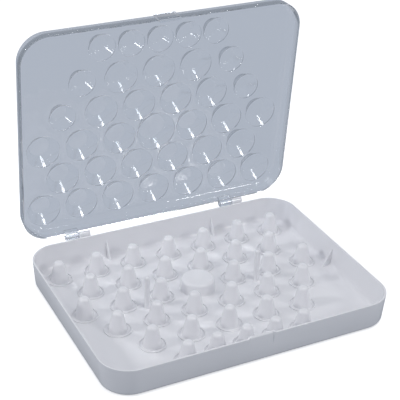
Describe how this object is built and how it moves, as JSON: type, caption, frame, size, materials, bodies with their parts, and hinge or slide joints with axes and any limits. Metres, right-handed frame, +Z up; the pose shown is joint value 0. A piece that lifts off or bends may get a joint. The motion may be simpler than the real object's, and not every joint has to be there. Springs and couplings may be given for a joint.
{
  "type": "piping nozzle storage case",
  "caption": "Flat hinged storage case: white tray with rows of tapered pegs, clear lid with a cup over each peg to keep small pieces upright.",
  "frame": {"origin": "on the table plane, under the middle of the tray", "axes": "+Z up, +X to the right along the case's length, -Y to the front where the catch is; the lid is open at rest"},
  "size_m": [0.29, 0.2472, 0.2556],
  "materials": {
    "tray_plastic": "fine satin moulded plastic",
    "lid_plastic": "clear polished moulded plastic with a faint cool tint"
  },
  "bodies": {
    "tray": {"tray_shell": "tray_plastic", "peg_collars": "tray_plastic", "wall_gussets": "tray_plastic", "corner_feet": "tray_plastic", "hinge_barrels": "tray_plastic", "hinge_pins": "tray_plastic", "pegs_row_1": "tray_plastic", "pegs_row_2": "tray_plastic", "pegs_row_3": "tray_plastic", "pegs_row_4": "tray_plastic", "pegs_row_5": "tray_plastic", "pegs_row_6": "tray_plastic", "center_boss": "tray_plastic", "left_post": "tray_plastic", "right_post": "tray_plastic"},
    "lid": {"lid_shell": "lid_plastic", "lid_barrels": "lid_plastic", "catch_tab": "lid_plastic", "cups_row_1": "lid_plastic", "cups_row_2": "lid_plastic", "cups_row_3": "lid_plastic", "cups_row_4": "lid_plastic", "cups_row_5": "lid_plastic", "cups_row_6": "lid_plastic", "center_cup": "lid_plastic"}
  },
  "joints": [
    {"name": "lid_hinge", "type": "hinge", "parent": "tray", "child": "lid", "pos_m": [0, 0.1135, 0.0308], "axis": [1, 0, 0], "range_deg": [0, 85.6]}
  ]
}
